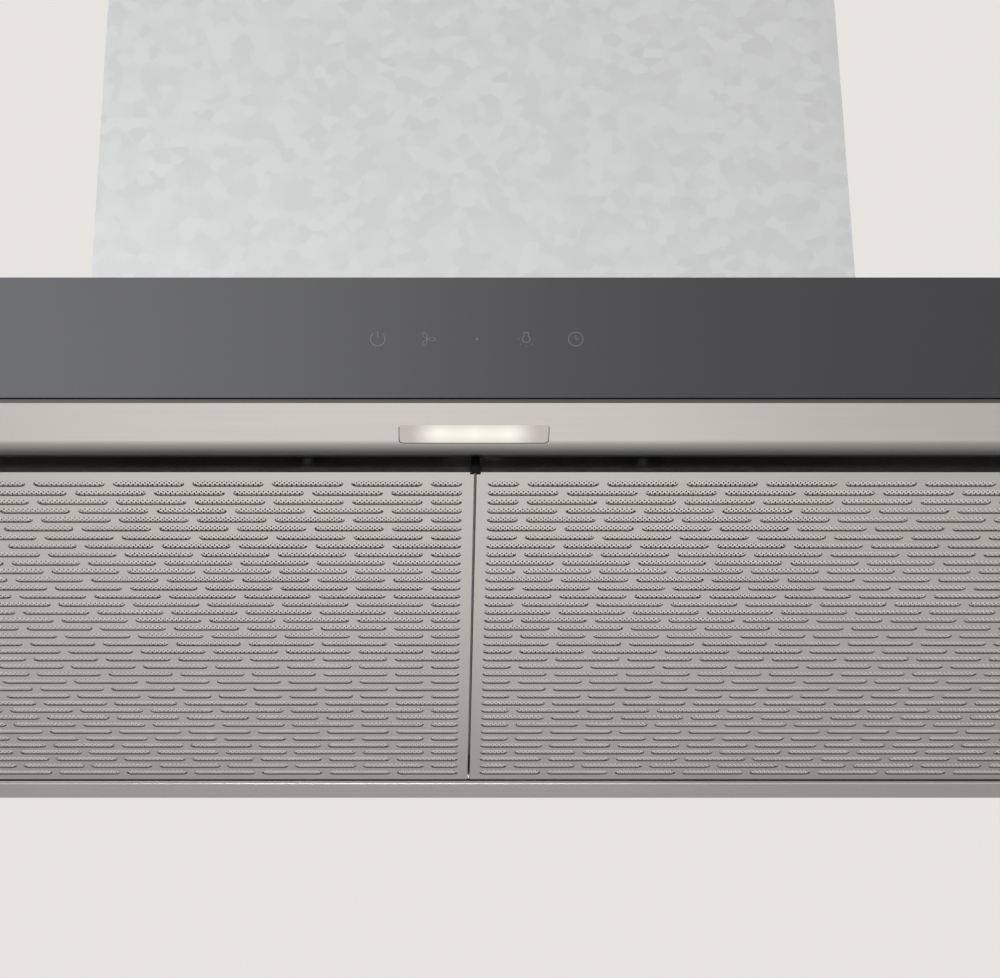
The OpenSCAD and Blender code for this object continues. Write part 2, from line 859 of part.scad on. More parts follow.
// Catch spring: one wire wound round the plunger's tail.
module catch_spring(i) {
    n = spring_sides;
    points = [for (k = [0 : spring_steps]) each spring_ring(k)];
    walls = [
        for (k = [0 : spring_steps - 1]) for (s = [0 : n - 1]) for (half = [0, 1])
            let (a = k * n + s, b = k * n + (s + 1) % n)
            half == 0 ? [a, a + n, b] : [b, a + n, b + n]
    ];
    first = [for (s = [1 : n - 2]) [0, s, s + 1]];
    last = [for (s = [1 : n - 2]) [spring_steps * n, spring_steps * n + s + 1, spring_steps * n + s]];
    color(steel) placed() translate([catch_x[i], 0, catch_z]) {
        polyhedron(points = points, faces = concat(walls, first, last));
    }
}

// Blower box: four walls with a foot flange outside.
module blower_box() {
    color(zinc) placed() difference() {
        union() {
            translate([-box_w / 2, box_y, box_z]) cube([box_w, box_d, box_h]);
            translate([-box_w / 2 - box_flange, box_y, box_z]) {
                cube([box_w + 2 * box_flange, box_d, sheet_t]);
            }
        }
        translate([-box_w / 2 + box_t, box_y + box_t, box_z - over]) {
            cube([box_w - 2 * box_t, box_d - 2 * box_t, box_h + 2 * over]);
        }
        for (spot = box_screw_spots) {
            translate([spot[0], spot[1], box_z - over]) cylinder(h = 3 * sheet_t, r = screw_r);
        }
        hole_y = ctrl_y + ctrl_d / 2;
        bar_x(-box_w / 2 - over, -box_w / 2 + 3 * box_t, hole_y, box_wire_z, wire_hole_r);
    }
}

// Places of the screws round the duct collar.
collar_screw_r = duct_r + 7;
collar_screw_spots = [
    for (a = [45 : 90 : 315]) [
        collar_screw_r * cos(a), duct_y + collar_screw_r * sin(a)
    ]
];

module blower_box_top() {
    color(zinc) placed() difference() {
        union() {
            translate([-box_w / 2, box_y, box_top]) cube([box_w, box_d, top_t]);
            for (side = [-1, 1]) {
                for_side(side) translate([box_w / 2 - box_t - top_t, box_y + box_t, box_top - top_lip]) {
                    cube([top_t, box_d - 2 * box_t, top_lip]);
                }
            }
        }
        translate([0, duct_y, box_top - over]) cylinder(h = top_t + 2 * over, r = bore_r);
        for (spot = collar_screw_spots) {
            translate([spot[0], spot[1], box_top - over]) {
                cylinder(h = top_t + 2 * over, r = screw_r);
            }
        }
    }
}

// A quarter of a disc, in the quadrant that starts at an angle.
module quarter(r, start) {
    intersection() {
        circle(r = r, $fn = 128);
        rotate(start) square([2 * r, 2 * r]);
    }
}

// Outline of the scroll in the Y-Z plane about the wheel's axis, grown by an allowance.
module scroll_outline(grow) {
    s = scroll_step;
    top = box_top - wheel_z;
    front_turn = scroll_r + grow;
    quarter(front_turn, 90);
    translate([s, 0]) quarter(front_turn + s, 180);
    translate([s, s]) quarter(front_turn + 2 * s, 270);
    translate([0, -s]) square([s, 2 * s]);
    translate([outlet_front - grow, 0]) square([outlet_back - outlet_front + 2 * grow, top]);
    translate([-over, 0]) square([outlet_front + over, front_turn]);
    translate([0, 0]) square([outlet_back + grow, s + over]);
}

// One half of the scroll housing: its side wall, and its half of the curved wall.
module scroll_half(side) {
    half = scroll_w / 2;
    reach = 3 * scroll_r;
    color(grey_plastic) placed() for_side(side) translate([0, wheel_y, wheel_z]) difference() {
        along_x(0, half + scroll_t) intersection() {
            scroll_outline(scroll_t);
            translate([-reach, -reach]) square([2 * reach, reach + box_top - wheel_z]);
        }
        along_x(-over, half) {
            scroll_outline(0);
            translate([outlet_front, 0]) {
                square([outlet_back - outlet_front, box_top - wheel_z + over]);
            }
        }
        bar_x(half - over, half + scroll_t + over, 0, 0, inlet_r + sleeve_t);
    }
}

// Inlet rings: short sleeves with a flange, one on each side of the scroll.
module inlet_rings() {
    x = scroll_w / 2 + scroll_t;
    color(grey_plastic) placed() for (side = [-1, 1]) {
        for_side(side) difference() {
            union() {
                bar_x(x - sleeve_l, x + inlet_flange_t, wheel_y, wheel_z, inlet_r + sleeve_t);
                bar_x(x, x + inlet_flange_t, wheel_y, wheel_z, inlet_flange_r);
            }
            bar_x(x - sleeve_l - over, x + 2 * inlet_flange_t, wheel_y, wheel_z, inlet_r);
        }
    }
}

module motor_can() {
    color(zinc) placed() difference() {
        bar_x(motor_x0, motor_x1, wheel_y, wheel_z, motor_r);
        bar_x(motor_x0 + motor_wall, motor_x1 + over, wheel_y, wheel_z, shaft_r + run_gap);
    }
}

// Bracket: a boss to the motor and three arms outside the left inlet.
module motor_bracket() {
    color(zinc) placed() {
        bar_x(bracket_x - arm_t, motor_x0, wheel_y, wheel_z, boss_r);
        for (a = [90 : 120 : 330]) {
            translate([bracket_x - arm_t, wheel_y, wheel_z]) rotate([a, 0, 0]) {
                translate([0, -arm_w / 2, 0]) cube([arm_t, arm_w, rubber_at + rubber_r]);
            }
        }
    }
}

module motor_rubbers() {
    color(dark_plastic) placed() for (a = [90 : 120 : 330]) {
        translate([0, wheel_y, wheel_z]) rotate([a, 0, 0]) {
            bar_x(bracket_x, bracket_x + rubber_l, 0, rubber_at, rubber_r);
        }
    }
}

module motor_shaft() {
    color(steel) placed() bar_x(motor_x0 + motor_wall + 1, hub_l + 3, wheel_y, wheel_z, shaft_r);
}

// Impeller: blades let into two end rings, with a disc and hub in the middle.
module impeller() {
    half = wheel_w / 2;
    color([0.30, 0.30, 0.31]) placed() translate([0, wheel_y, wheel_z]) difference() {
        union() {
            for (i = [0 : blades - 1]) {
                rotate([360 * i / blades, 0, 0]) {
                    translate([0, wheel_r - blade_depth / 2, 0]) rotate([blade_tilt, 0, 0]) {
                        cube([wheel_w - ring_t, blade_l, blade_t_wheel], center = true);
                    }
                }
            }
            for (x = [-half, half - ring_t]) {
                difference() {
                    bar_x(x, x + ring_t, 0, 0, wheel_r);
                    bar_x(x - over, x + ring_t + over, 0, 0, ring_in);
                }
            }
            bar_x(0, ring_t, 0, 0, wheel_r);
            bar_x(0, hub_l, 0, 0, hub_r);
        }
        bar_x(-over, hub_l + over, 0, 0, shaft_r);
    }
}

// Duct collar: flange, tube and the seat ring for the flaps.
module duct_collar() {
    seat_z = damper_z - flap_t / 2 - seat_gap - seat_t;
    color(dark_plastic) placed() translate([0, duct_y, 0]) difference() {
        union() {
            translate([0, 0, collar_z]) cylinder(h = collar_flange_t, r = collar_flange_r, $fn = 128);
            translate([0, 0, collar_z]) cylinder(h = duct_h, r = duct_r, $fn = 128);
        }
        translate([0, 0, collar_z - over]) {
            cylinder(h = seat_z - collar_z + over, r = bore_r, $fn = 128);
        }
        translate([0, 0, collar_z]) cylinder(h = duct_h, r = bore_r - seat_w, $fn = 128);
        translate([0, 0, seat_z + seat_t]) cylinder(h = duct_h, r = bore_r, $fn = 128);
        bar_x(-bore_r - 1, bore_r + 1, 0, damper_z, damper_pin_r);
        for (spot = collar_screw_spots) {
            translate([spot[0], spot[1] - duct_y, collar_z - over]) {
                cylinder(h = collar_flange_t + 2 * over, r = screw_r);
            }
        }
    }
}

module damper_pin() {
    color(steel) placed() bar_x(-bore_r - 1, bore_r + 1, duct_y, damper_z, damper_pin_r);
}

// A damper flap: half a disc behind its hinge line, with two knuckles on the pin.
module damper_flap(side, knuckles) {
    r = bore_r - flap_gap;
    color(grey_plastic) placed() translate([0, duct_y, damper_z]) difference() {
        union() {
            translate([0, 0, -flap_t / 2]) linear_extrude(flap_t) intersection() {
                circle(r = r, $fn = 128);
                translate([-r, side > 0 ? flap_root : -flap_root - r]) square([2 * r, r]);
            }
            for (x = knuckles) {
                bar_x(x - knuckle_l / 2, x + knuckle_l / 2, 0, 0, knuckle_r);
                translate([x - knuckle_l / 2, side > 0 ? 0 : -flap_root - 1, -flap_t / 2]) {
                    cube([knuckle_l, flap_root + 1, flap_t]);
                }
            }
        }
        bar_x(-r, r, 0, 0, damper_pin_r + run_gap);
    }
}

// Control box: a tray with walls, open at its top.
module control_box() {
    color(zinc) placed() translate([ctrl_x, ctrl_y, casing_h]) difference() {
        cube([ctrl_w, ctrl_d, ctrl_h]);
        translate([ctrl_t, ctrl_t, ctrl_t]) {
            cube([ctrl_w - 2 * ctrl_t, ctrl_d - 2 * ctrl_t, ctrl_h]);
        }
        translate([ctrl_w / 2, ctrl_wire_y, -over]) cylinder(h = ctrl_t + 2 * over, r = wire_hole_r);
        translate([gland_x - ctrl_x, 0, gland_z - casing_h]) {
            bar_y(ctrl_d - ctrl_t - over, ctrl_d + over, 0, 0, gland_r + gland_t);
        }
    }
}

module control_box_lid() {
    outer = lid_gap + lid_t;
    color(zinc) placed() translate([ctrl_x, ctrl_y, casing_h + ctrl_h]) {
        translate([-outer, -outer, 0]) cube([ctrl_w + 2 * outer, ctrl_d + 2 * outer, lid_t]);
        difference() {
            translate([-outer, -outer, -lid_skirt]) {
                cube([ctrl_w + 2 * outer, ctrl_d + 2 * outer, lid_skirt]);
            }
            translate([-lid_gap, -lid_gap, -lid_skirt - over]) {
                cube([ctrl_w + 2 * lid_gap, ctrl_d + 2 * lid_gap, lid_skirt + 2 * over]);
            }
        }
    }
}

// Control board on four posts, with its relays, terminal strip and transformer.
module control_board() {
    post_h = 6;
    post_r = 2.5;
    post_inset = 4;
    board_x = 15;
    board_y = 45;
    relay = [15, 18, 14];
    relay_x = 8;
    relay_y = 12;
    relay_pitch = 19;
    relays = floor((ctrl_w - 2 * board_x - 2 * relay_x + relay_pitch - relay[0]) / relay_pitch);
    strip = [10, 11];
    coil = [30, 24, 20];
    coil_x = 12;
    coil_y = 36;
    w = ctrl_w - 2 * board_x;
    d = ctrl_d / 2;
    top = post_h + board_t;
    color(board_green) placed() translate([ctrl_x + board_x, ctrl_y + board_y, casing_h + ctrl_t]) {
        for (x = [post_inset, w - post_inset]) {
            for (y = [post_inset, d - post_inset]) {
                translate([x, y, 0]) cylinder(h = post_h, r = post_r);
            }
        }
        translate([0, 0, post_h]) cube([w, d, board_t]);
        for (i = [0 : relays - 1]) {
            translate([relay_x + i * relay_pitch, relay_y, top]) cube(relay);
        }
        translate([coil_x, coil_y, top]) cube(coil);
        translate([relay_x, d - strip[0] - 3, top]) cube([w - 2 * relay_x, strip[0], strip[1]]);
    }
}

// Motor capacitor: a can that lies in the control box, before its rear wall.
module motor_capacitor() {
    r = 14;
    end_gap = 22;
    rear_gap = 10;
    color([0.85, 0.85, 0.82]) placed() {
        y = ctrl_y + ctrl_d - r - rear_gap;
        bar_x(ctrl_x + end_gap, ctrl_x + ctrl_w - end_gap, y, casing_h + ctrl_t + r, r);
    }
}

// Cable gland in the control box's rear wall: sleeve, inner nut, hexagon and cap.
module cable_gland() {
    y = ctrl_y + ctrl_d;
    nut_t = 5;
    nut_r = gland_r + 6;
    hex_t = 6;
    hex_r = gland_r + 7;
    cap_r = gland_r + 5;
    cap_end = gland_out - 4;
    color(dark_plastic) placed() translate([gland_x, y, gland_z]) difference() {
        union() {
            bar_y(-ctrl_t - gland_in, gland_out, 0, 0, gland_r + gland_t);
            rotate([-90, 30, 0]) cylinder(h = hex_t, r = hex_r, $fn = 6);
            bar_y(hex_t, cap_end, 0, 0, cap_r);
            bar_y(-ctrl_t - nut_t, -ctrl_t, 0, 0, nut_r);
        }
        bar_y(-ctrl_t - gland_in - over, gland_out + over, 0, 0, gland_r);
    }
}

// A pan-head screw that points down, its head's seat at the zero point.
module screw_down(l) {
    translate([0, 0, -l]) cylinder(h = l, r = screw_r);
    cylinder(h = head_h, r = head_r);
}

module casing_screws() {
    color(steel) placed() for (side = [-1, 1]) {
        for_side(side) for (y = end_screw_y) {
            translate([end_screw_x, y, casing_h - 2 * sheet_t]) rotate([180, 0, 0]) {
                screw_down(2 * sheet_t);
            }
        }
    }
}

module box_screws() {
    color(steel) placed() for (spot = box_screw_spots) {
        translate([spot[0], spot[1], box_z + sheet_t]) screw_down(2 * sheet_t + screw_end);
    }
}

module collar_screws() {
    color(steel) placed() for (spot = collar_screw_spots) {
        translate([spot[0], spot[1], collar_z + collar_flange_t]) {
            screw_down(collar_flange_t + top_t + screw_end);
        }
    }
}

front_strip();
side_strip(-1);  // left_side_strip
side_strip(1);  // right_side_strip
rear_strip();
casing_wrap();
casing_end(-1);  // left_casing_end
casing_end(1);  // right_casing_end
fascia_glass();
fascia_carrier();
fascia_end_caps();
touch_board();
status_light();
lamp_lens();
lamp_housing();
light_board();
centre_rail();
centre_stop();
hinge_brackets();
hinge_pins();
catch_housings();
filter_face(-1);  // left_filter_face
filter_mesh(-1);  // left_filter_mesh
filter_frame(-1);  // left_filter_frame
filter_back(-1);  // left_filter_back
filter_face(1);  // right_filter_face
filter_mesh(1);  // right_filter_mesh
filter_frame(1);  // right_filter_frame
filter_back(1);  // right_filter_back
catch_plunger(0);  // catch_plunger_1
catch_plunger(1);  // catch_plunger_2
catch_plunger(2);  // catch_plunger_3
catch_plunger(3);  // catch_plunger_4
catch_spring(0);  // catch_spring_1
catch_spring(1);  // catch_spring_2
catch_spring(2);  // catch_spring_3
catch_spring(3);  // catch_spring_4
blower_box();
blower_box_top();
scroll_half(-1);  // scroll_left_half
scroll_half(1);  // scroll_right_half
inlet_rings();
motor_can();
motor_bracket();
motor_rubbers();
motor_shaft();
impeller();
duct_collar();
damper_pin();
damper_flap(-1, knuckles_front);  // front_damper_flap
damper_flap(1, knuckles_rear);  // rear_damper_flap
control_box();
control_box_lid();
control_board();
motor_capacitor();
cable_gland();
casing_screws();
box_screws();
collar_screws();
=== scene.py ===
import json
from math import cos, pi, radians, sin

import bmesh
import bpy
from mathutils import Matrix, Vector


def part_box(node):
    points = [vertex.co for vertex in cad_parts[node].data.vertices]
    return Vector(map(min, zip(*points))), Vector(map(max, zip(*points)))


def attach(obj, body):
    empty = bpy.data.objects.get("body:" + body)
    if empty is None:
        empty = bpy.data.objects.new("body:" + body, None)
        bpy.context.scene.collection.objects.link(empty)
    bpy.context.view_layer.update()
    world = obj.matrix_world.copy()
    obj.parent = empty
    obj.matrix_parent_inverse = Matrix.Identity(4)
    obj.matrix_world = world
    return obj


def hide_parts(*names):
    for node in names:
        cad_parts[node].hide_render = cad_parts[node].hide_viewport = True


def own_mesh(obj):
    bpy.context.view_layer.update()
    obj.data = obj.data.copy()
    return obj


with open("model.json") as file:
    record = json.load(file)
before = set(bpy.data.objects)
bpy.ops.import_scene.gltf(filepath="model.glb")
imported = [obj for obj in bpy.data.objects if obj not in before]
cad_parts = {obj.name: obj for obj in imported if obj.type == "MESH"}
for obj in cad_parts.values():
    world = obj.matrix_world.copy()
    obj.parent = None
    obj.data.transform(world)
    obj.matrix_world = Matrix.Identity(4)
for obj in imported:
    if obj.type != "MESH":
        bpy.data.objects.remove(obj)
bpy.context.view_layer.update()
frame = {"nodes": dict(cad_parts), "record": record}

NODES = frame["nodes"]
MM = 0.001

# The underside is the plane z = 0, and the front strip's edge is this far forward.
FRONT_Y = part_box("front_strip")[0].y


# Camera: the photograph's, worked out from the perspective of the slots.
CAMERA_X = -21.1 * MM
CAMERA_FORWARD = 1299.1 * MM
CAMERA_BELOW = 795.5 * MM
CAMERA_PITCH = 30
CAMERA_LENS = 119.66
CAMERA_SENSOR = 36
CAMERA_SHIFT_X = 0.069


def make_camera():
    data = bpy.data.cameras.new("camera")
    data.lens = CAMERA_LENS
    data.sensor_width = CAMERA_SENSOR
    data.shift_x = CAMERA_SHIFT_X
    data.clip_start = 0.01
    camera = bpy.data.objects.new("camera", data)
    camera.location = (CAMERA_X, FRONT_Y - CAMERA_FORWARD, -CAMERA_BELOW)
    camera.rotation_euler = (radians(90 + CAMERA_PITCH), 0, 0)
    bpy.context.scene.collection.objects.link(camera)
    bpy.context.scene.camera = camera


make_camera()


# Node helpers


def add(tree, kind, inputs=None, **settings):
    """Adds a node; inputs maps a socket to a plain value or to another node's output."""
    made = tree.nodes.new(kind)
    for name, value in settings.items():
        setattr(made, name, value)
    for socket, value in (inputs or {}).items():
        if isinstance(value, bpy.types.NodeSocket):
            tree.links.new(value, made.inputs[socket])
        else:
            made.inputs[socket].default_value = value
    return made


def math(tree, operation, a, b=0.0):
    return add(tree, "ShaderNodeMath", {0: a, 1: b}, operation=operation).outputs[0]


def spread(tree, value, low, high, start=0.0, end=1.0):
    """Maps a value from start..end to low..high."""
    inputs = {"Value": value, "From Min": start, "From Max": end, "To Min": low, "To Max": high}
    return add(tree, "ShaderNodeMapRange", inputs).outputs["Result"]


def mix_colour(tree, factor, a, b, blend="MIX"):
    made = add(tree, "ShaderNodeMix", data_type="RGBA", blend_type=blend)
    for socket, value in ((0, factor), (6, a), (7, b)):
        if isinstance(value, bpy.types.NodeSocket):
            tree.links.new(value, made.inputs[socket])
        else:
            made.inputs[socket].default_value = value
    return made.outputs[2]


def place(tree, scale):
    """Object coordinates, stretched by a scale."""
    coordinates = add(tree, "ShaderNodeTexCoord").outputs["Object"]
    return add(tree, "ShaderNodeMapping", {"Vector": coordinates, "Scale": scale}).outputs[0]


def noise(tree, scale, detail=2.0, vector=None):
    vector = place(tree, (1, 1, 1)) if vector is None else vector
    inputs = {"Vector": vector, "Scale": scale, "Detail": detail}
    return add(tree, "ShaderNodeTexNoise", inputs).outputs["Fac"]


def new_group(name, inputs, outputs):
    """A shader node group with float inputs and the outputs named with their socket kinds."""
    group = bpy.data.node_groups.new(name, "ShaderNodeTree")
    for socket, default in inputs.items():
        made = group.interface.new_socket(socket, in_out="INPUT", socket_type="NodeSocketFloat")
        made.default_value = default
    for socket, kind in outputs.items():
        group.interface.new_socket(socket, in_out="OUTPUT", socket_type=kind)
    source = group.nodes.new("NodeGroupInput")
    sink = group.nodes.new("NodeGroupOutput")
    return group, source, sink


def use_group(tree, group, **inputs):
    made = tree.nodes.new("ShaderNodeGroup")
    made.node_tree = group
    for socket, value in inputs.items():
        made.inputs[socket].default_value = value
    return made


# Brush marks: the scales along X, Y and Z of the fine and coarse lines and of the smears.
FINE_LINES = (14, 1500, 1500)
COARSE_LINES = (5, 420, 420)
SMEARS = (9, 22, 22)
LINE_DEPTH = 0.00002


def brushed_group():
    """Brush lines along X, with soft smears of handling, for steel sheet."""
    group, source, sink = new_group(
        "brushed_lines",
        {"Fine": 1.0, "Smear": 1.0},
        {"Lines": "NodeSocketFloat", "Smears": "NodeSocketFloat"},
    )
    fine = noise(group, 1.0, 3.0, place(group, FINE_LINES))
    coarse = noise(group, 1.0, 2.0, place(group, COARSE_LINES))
    lines = math(group, "ADD", math(group, "MULTIPLY", fine, 0.65), math(group, "MULTIPLY", coarse, 0.35))
    lines = math(group, "MULTIPLY", math(group, "SUBTRACT", lines, 0.5), source.outputs["Fine"])
    smears = noise(group, 1.0, 3.0, place(group, SMEARS))
    smears = math(group, "MULTIPLY", math(group, "SUBTRACT", smears, 0.5), source.outputs["Smear"])
    group.links.new(lines, sink.inputs["Lines"])
    group.links.new(smears, sink.inputs["Smears"])
    return group


def grain_group():
    """Fine moulded grain with slow drifts of tone, for plastics, rubber and boards."""
    group, source, sink = new_group(
        "moulded_grain",
        {"Size": 900.0},
        {"Grain": "NodeSocketFloat", "Drift": "NodeSocketFloat"},
    )
    scaled = add(group, "ShaderNodeTexNoise", {"Vector": place(group, (1, 1, 1)), "Detail": 2.0})
    group.links.new(source.outputs["Size"], scaled.inputs["Scale"])
    drift = noise(group, 14.0, 3.0)
    group.links.new(scaled.outputs["Fac"], sink.inputs["Grain"])
    group.links.new(drift, sink.inputs["Drift"])
    return group


BRUSHED = brushed_group()
GRAIN = grain_group()


def new_material(name, metallic=0.0, **plain):
    """A material with one Principled shader, whose plain sockets are set by name."""
    material = bpy.data.materials.new(name)
    material.use_nodes = True
    tree = material.node_tree
    shader = tree.nodes["Principled BSDF"]
    shader.inputs["Metallic"].default_value = metallic
    for socket, value in plain.items():
        shader.inputs[socket.replace("_", " ")].default_value = value
    return material, tree, shader


def tone(tree, colour, factor, dark=0.92, light=1.06):
    """A colour that drifts between a darker and a lighter tone."""
    low = [c * dark for c in colour] + [1]
    high = [min(c * light, 1) for c in colour] + [1]
    return mix_colour(tree, factor, low, high)


def bump(tree, shader, height, strength, distance):
    inputs = {"Height": height, "Strength": strength, "Distance": distance}
    made = add(tree, "ShaderNodeBump", inputs)
    tree.links.new(made.outputs["Normal"], shader.inputs["Normal"])


# A face is upright where its normal's Z lies within this of 0, and looks down below DOWN.
UPRIGHT = 0.5
DOWN = -0.8


def upright_between(tree, low, high):
    """1 on upright faces between two heights, such as cut edges and flanges, and 0 elsewhere."""
    coordinates = add(tree, "ShaderNodeTexCoord").outputs
    lean = add(tree, "ShaderNodeSeparateXYZ", {"Vector": coordinates["Normal"]}).outputs["Z"]
    height = add(tree, "ShaderNodeSeparateXYZ", {"Vector": coordinates["Object"]}).outputs["Z"]
    upright = math(tree, "LESS_THAN", math(tree, "ABSOLUTE", lean), UPRIGHT)
    above = math(tree, "GREATER_THAN", height, low)
    below = math(tree, "LESS_THAN", height, high)
    return math(tree, "MULTIPLY", upright, math(tree, "MULTIPLY", above, below))


def painted_shade_along_y(tree, start, length, stops):
    """A painted shade factor along Y for the faces that look down; stops gives it for shares of the
    length.
    """
    coordinates = add(tree, "ShaderNodeTexCoord").outputs
    lean = add(tree, "ShaderNodeSeparateXYZ", {"Vector": coordinates["Normal"]}).outputs["Z"]
    along = add(tree, "ShaderNodeSeparateXYZ", {"Vector": coordinates["Object"]}).outputs["Y"]
    share = spread(tree, along, 0.0, 1.0, start, start + length)
    ramp = add(tree, "ShaderNodeValToRGB", {0: share})
    points = ramp.color_ramp.elements
    for where, factor in stops[1:-1]:
        points.new(where)
    for point, (where, factor) in zip(points, stops):
        point.position = where
        point.color = (factor, factor, factor, 1)
    down = math(tree, "LESS_THAN", lean, DOWN)
    return mix_colour(tree, down, (1, 1, 1, 1), ramp.outputs["Color"])


def brushed_steel(name, colour, roughness, fine=0.8, dents=0.0, edges=(), painted_fade=None):
    """Brushed sheet. dents is the height in metres of slow waves in the sheet, edges lists
    (low, high, factor) for painted shade on upright faces, and painted_fade is what painted_shade_along_y
    takes."""
    material, tree, shader = new_material(name, metallic=1.0)
    lines = use_group(tree, BRUSHED, Fine=fine)
    factor = spread(tree, lines.outputs["Lines"], 0.0, 1.0, -0.5, 0.5)
    steel = tone(tree, colour, factor, 0.86, 1.12)
    # Painted shade: upright faces between each pair of heights are darkened by their factor.
    for low, high, darker in edges:
        shade = spread(tree, upright_between(tree, low, high), 1.0, darker)
        steel = mix_colour(tree, 1.0, steel, shade, "MULTIPLY")
    # Painted shade and painted dark reflection along Y on the faces that look down.
    if painted_fade:
        steel = mix_colour(tree, 1.0, steel, painted_shade_along_y(tree, *painted_fade), "MULTIPLY")
    tree.links.new(steel, shader.inputs["Base Color"])
    rough = math(tree, "ADD", math(tree, "MULTIPLY", lines.outputs["Lines"], 0.25), roughness)
    rough = math(tree, "ADD", rough, math(tree, "MULTIPLY", lines.outputs["Smears"], 0.10))
    tree.links.new(rough, shader.inputs["Roughness"])
    height = math(tree, "MULTIPLY", lines.outputs["Lines"], LINE_DEPTH)
    if dents:
        waves = noise(tree, 1.0, 1.0, place(tree, (16, 9, 9)))
        height = math(tree, "ADD", height, math(tree, "MULTIPLY", waves, dents))
    bump(tree, shader, height, 1.0, 1.0)
    return material


def galvanised(name, colour):
    """Zinc-coated sheet with its faint crystal patches."""
    material, tree, shader = new_material(name, metallic=0.85)
    cells = add(tree, "ShaderNodeTexVoronoi", {"Vector": place(tree, (1, 1, 1)), "Scale": 140.0})
    patch = add(tree, "ShaderNodeSeparateColor", {"Color": cells.outputs["Color"]}).outputs[0]
    cloud = noise(tree, 6.0, 3.0)
    factor = math(tree, "ADD", math(tree, "MULTIPLY", patch, 0.7), math(tree, "MULTIPLY", cloud, 0.3))
    tree.links.new(tone(tree, colour, factor, 0.95, 1.05), shader.inputs["Base Color"])
    tree.links.new(spread(tree, factor, 0.44, 0.52), shader.inputs["Roughness"])
    bump(tree, shader, patch, 0.05, 0.0002)
    return material


def moulded(name, colour, roughness, size=900.0, depth=0.00003, metallic=0.0, **plain):
    """Plastic, rubber or cast metal with a fine grain."""
    material, tree, shader = new_material(name, metallic=metallic, **plain)
    grain = use_group(tree, GRAIN, Size=size)
    tree.links.new(tone(tree, colour, grain.outputs["Drift"]), shader.inputs["Base Color"])
    rough = spread(tree, grain.outputs["Drift"], roughness - 0.06, roughness + 0.06, 0.3, 0.7)
    tree.links.new(rough, shader.inputs["Roughness"])
    bump(tree, shader, grain.outputs["Grain"], 1.0, depth)
    return material


def board(name, colour):
    """Circuit board: lacquer over paler copper tracks."""
    material, tree, shader = new_material(name, Coat_Weight=0.4)
    tracks = add(tree, "ShaderNodeTexBrick", {"Vector": place(tree, (1, 1, 1)), "Scale": 60.0})
    tracks.inputs["Mortar Size"].default_value = 0.05
    dark = [c * 0.7 for c in colour] + [1]
    colours = mix_colour(tree, tracks.outputs["Fac"], dark, [c * 1.3 for c in colour] + [1])
    tree.links.new(colours, shader.inputs["Base Color"])
    tree.links.new(spread(tree, noise(tree, 40.0), 0.25, 0.45), shader.inputs["Roughness"])
    bump(tree, shader, tracks.outputs["Fac"], 1.0, 0.00003)
    return material


def fascia_material():
    """Dark back-painted glass: a clear front and a faint drift in the paint behind."""
    material, tree, shader = new_material("fascia_glass", Coat_Weight=0.1, Coat_Roughness=0.28)
    shader.inputs["Specular IOR Level"].default_value = 0.42
    drift = noise(tree, 3.0, 2.0)
    tree.links.new(tone(tree, (0.026, 0.0265, 0.031), drift, 0.96, 1.04), shader.inputs["Base Color"])
    tree.links.new(spread(tree, noise(tree, 5.0, 3.0), 0.28, 0.32), shader.inputs["Roughness"])
    return material


# Lit lamp: three light points behind a frosted lens, whose flange is in shadow.
LIGHT_SPACING = 16 * MM
LIGHT_SPREAD = 15 * MM
LENS_FLANGE_Z = 0.9 * MM
LENS_DIM = (0.25, 0.225, 0.20, 1)
LENS_BRIGHT = (0.72, 0.70, 0.63, 1)
LENS_FROST = (0.25, 0.24, 0.225, 1)
FLANGE_DARK = (0.03, 0.03, 0.03, 1)


def lamp_material():
    material, tree, shader = new_material("lit_lens", Roughness=0.4)
    coordinates = add(tree, "ShaderNodeTexCoord").outputs["Object"]
    place_at = add(tree, "ShaderNodeSeparateXYZ", {"Vector": coordinates}).outputs
    low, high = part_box("lamp_lens")
    middle = (low + high) / 2

    def near(axis, centre, reach, far_end):
        """1 next to a centre line, falling softly to far_end at the reach."""
        away = math(tree, "ABSOLUTE", math(tree, "SUBTRACT", place_at[axis], centre))
        inputs = {"Value": away, "From Max": reach, "To Min": 1.0, "To Max": far_end}
        made = add(tree, "ShaderNodeMapRange", inputs, interpolation_type="SMOOTHSTEP")
        return made.outputs["Result"]

    glow = 0.0
    for i in (-1, 0, 1):
        glow = math(tree, "ADD", glow, near("X", middle.x + i * LIGHT_SPACING, LIGHT_SPREAD, 0.0))
    glow = math(tree, "MINIMUM", glow, 1.0)
    glow = math(tree, "MULTIPLY", glow, near("Y", middle.y, (high.y - low.y) / 2, 0.6))
    warm = mix_colour(tree, glow, LENS_DIM, LENS_BRIGHT)
    shown = math(tree, "LESS_THAN", place_at["Z"], LENS_FLANGE_Z)
    tree.links.new(mix_colour(tree, shown, (0, 0, 0, 1), warm), shader.inputs["Emission Color"])
    frosted = mix_colour(tree, shown, FLANGE_DARK, LENS_FROST)
    tree.links.new(frosted, shader.inputs["Base Color"])
    shader.inputs["Emission Strength"].default_value = 1.0
    return material
